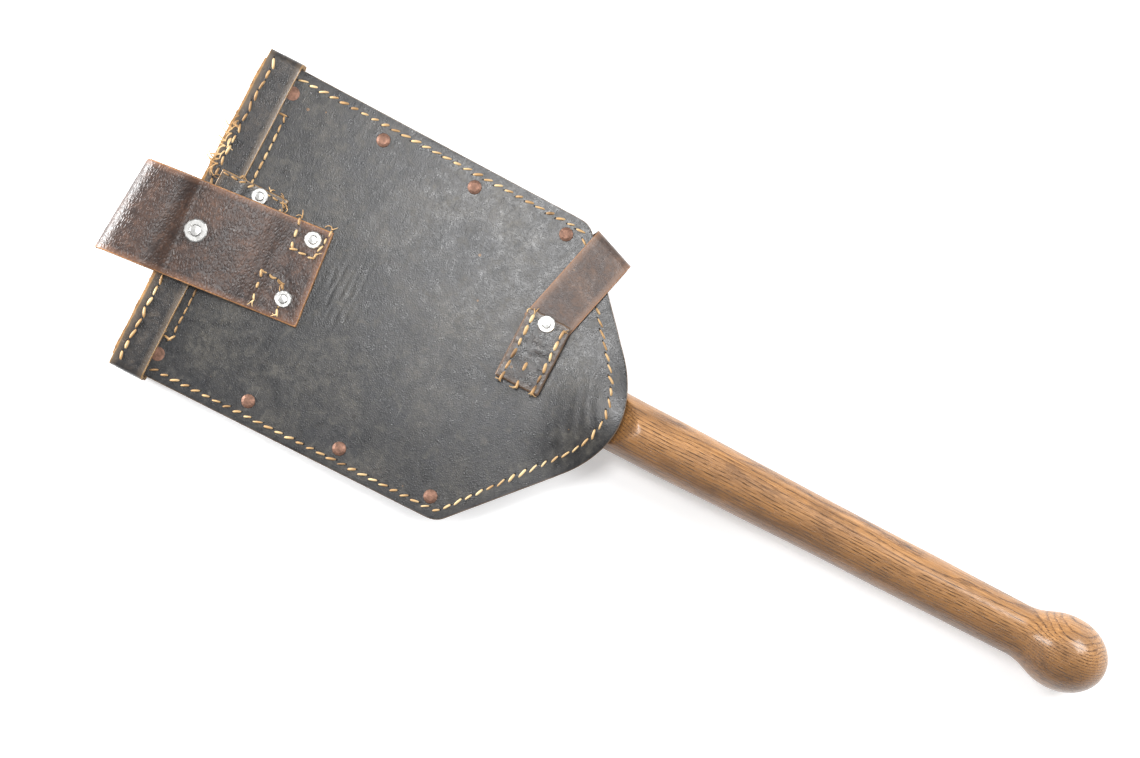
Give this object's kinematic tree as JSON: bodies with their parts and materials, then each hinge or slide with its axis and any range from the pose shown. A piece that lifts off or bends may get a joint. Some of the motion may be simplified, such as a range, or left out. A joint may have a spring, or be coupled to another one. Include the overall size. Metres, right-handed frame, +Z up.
{
  "type": "camp shovel",
  "caption": "Short spade with a turned wooden handle, held in a riveted leather carrier with a belt loop, a folded closing strap and a roller buckle.",
  "frame": {"origin": "on the table, under the middle of the whole object's bounding box", "axes": "+X along the handle to its knob, +Z up out of the carrier's back panel, +Y towards the side where the closing strap folds over"},
  "size_m": [0.5976, 0.1942, 0.0418],
  "materials": {
    "black_leather": "waxed black leather, worn",
    "brown_leather": "brown pebbled leather, glossy",
    "tan_leather": "tan vegetable-tanned leather",
    "ash_wood": "oiled ash, satin",
    "steel": "dark forged steel",
    "aluminium": "satin",
    "copper": "dull copper"
  },
  "bodies": {
    "carrier": {"back_panel": "black_leather", "upper_side_welt": "tan_leather", "lower_side_welt": "tan_leather", "end_welt": "tan_leather", "mouth_lining": "tan_leather", "nose_lining": "tan_leather", "mouth_band": "black_leather", "upper_side_rivet_1": "copper", "upper_side_burr_1": "copper", "upper_side_rivet_2": "copper", "upper_side_burr_2": "copper", "upper_side_rivet_3": "copper", "upper_side_burr_3": "copper", "upper_side_rivet_4": "copper", "upper_side_burr_4": "copper", "lower_side_rivet_1": "copper", "lower_side_burr_1": "copper", "lower_side_rivet_2": "copper", "lower_side_burr_2": "copper", "lower_side_rivet_3": "copper", "lower_side_burr_3": "copper", "lower_side_rivet_4": "copper", "lower_side_burr_4": "copper", "loop_tab": "black_leather", "belt_loop": "brown_leather", "loop_corner_1_rivet": "aluminium", "loop_corner_1_burr": "aluminium", "loop_corner_2_rivet": "aluminium", "loop_corner_2_burr": "aluminium", "loop_tab_rivet": "aluminium", "loop_tab_burr": "aluminium", "loop_main_rivet": "aluminium", "loop_main_burr": "aluminium", "closing_strap": "tan_leather", "strap_pad": "black_leather", "strap_rivet": "aluminium", "strap_burr": "aluminium", "front_frame": "black_leather", "buckle_chape": "black_leather", "strap_keeper": "brown_leather", "chape_rivet": "aluminium", "chape_burr": "aluminium"},
    "shovel": {"blade": "steel", "blade_rivet_1": "steel", "blade_rivet_2": "steel", "blade_rivet_3": "steel", "handle_rivet": "steel", "front_tongue": "steel", "rear_tongue": "steel", "handle": "ash_wood", "tongue_screw_1": "steel", "tongue_screw_2": "steel"},
    "strap_tail": {"strap_tail": "tan_leather"},
    "buckle_frame": {"buckle_frame": "steel"},
    "buckle_prong": {"buckle_prong": "steel"},
    "buckle_roller": {"buckle_roller": "steel"}
  },
  "joints": [
    {"name": "shovel_slide", "type": "slide", "parent": "carrier", "child": "shovel", "axis": [0.9975, 0, 0.0703], "range_m": [0, 0.26]},
    {"name": "strap_swing", "type": "hinge", "parent": "carrier", "child": "strap_tail", "pos_m": [-0.0483, 0.07789, 0.03202], "axis": [0.9313, -0.3584, 0.0657], "range_deg": [0, 165]},
    {"name": "buckle_swing", "type": "hinge", "parent": "carrier", "child": "buckle_frame", "pos_m": [-0.06385, -0.044, 0.01248], "axis": [-0.9792, 0.1908, -0.069], "range_deg": [0, 50]},
    {"name": "prong_swing", "type": "hinge", "parent": "buckle_frame", "child": "buckle_prong", "pos_m": [-0.06385, -0.044, 0.01248], "axis": [-0.9792, 0.1908, -0.069], "range_deg": [0, 40]},
    {"name": "roller_spin", "type": "hinge", "parent": "buckle_frame", "child": "buckle_roller", "pos_m": [-0.05947, -0.02142, 0.01279], "axis": [-0.9792, 0.1908, -0.069], "continuous": true}
  ]
}
